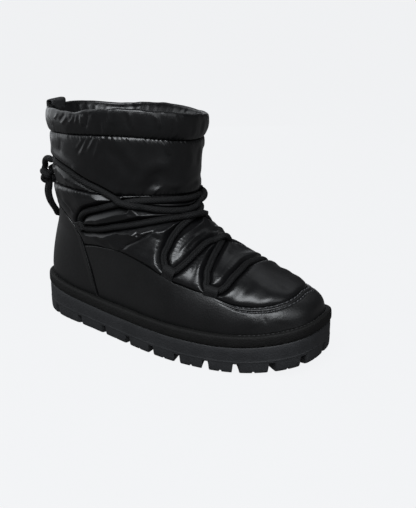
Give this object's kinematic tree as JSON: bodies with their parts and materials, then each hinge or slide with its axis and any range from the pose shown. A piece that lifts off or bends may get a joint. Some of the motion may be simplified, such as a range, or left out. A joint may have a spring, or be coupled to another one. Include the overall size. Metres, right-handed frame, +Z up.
{
  "type": "winter boot",
  "caption": "Black padded ankle boot for the right foot: hollow quilted upper, leather mudguard and heel counter, lugged platform sole, round lace wound over vamp and ankle.",
  "frame": {"origin": "on the floor under the middle of the boot's box", "axes": "+X to the toe, +Y to the inner side of the foot, +Z up"},
  "size_m": [0.28, 0.114, 0.2035],
  "materials": {
    "outsole_rubber": "matt moulded rubber",
    "welt_rubber": "matt textured rubber",
    "insole_foam": "cloth on foam",
    "padded_nylon": "glossy woven nylon over padding",
    "smooth_leather": "smooth satin leather",
    "webbing": "matt woven webbing",
    "lace_cord": "matt braided cord"
  },
  "bodies": {
    "root": {"outsole": "outsole_rubber", "welt": "welt_rubber", "insole": "insole_foam", "upper": "padded_nylon", "mudguard": "smooth_leather", "heel_counter": "smooth_leather", "pull_loop": "webbing", "vamp_loop_front_outer": "webbing", "vamp_loop_front_inner": "webbing", "vamp_loop_back_outer": "webbing", "vamp_loop_back_inner": "webbing", "ankle_loop_outer": "webbing", "ankle_loop_inner": "webbing", "lace_front_bar": "lace_cord", "lace_vamp_cross": "lace_cord", "lace_ankle_wrap": "lace_cord", "lace_slack": "lace_cord", "lace_knot": "lace_cord", "lace_end_outer": "lace_cord", "lace_end_inner": "lace_cord"}
  },
  "joints": []
}
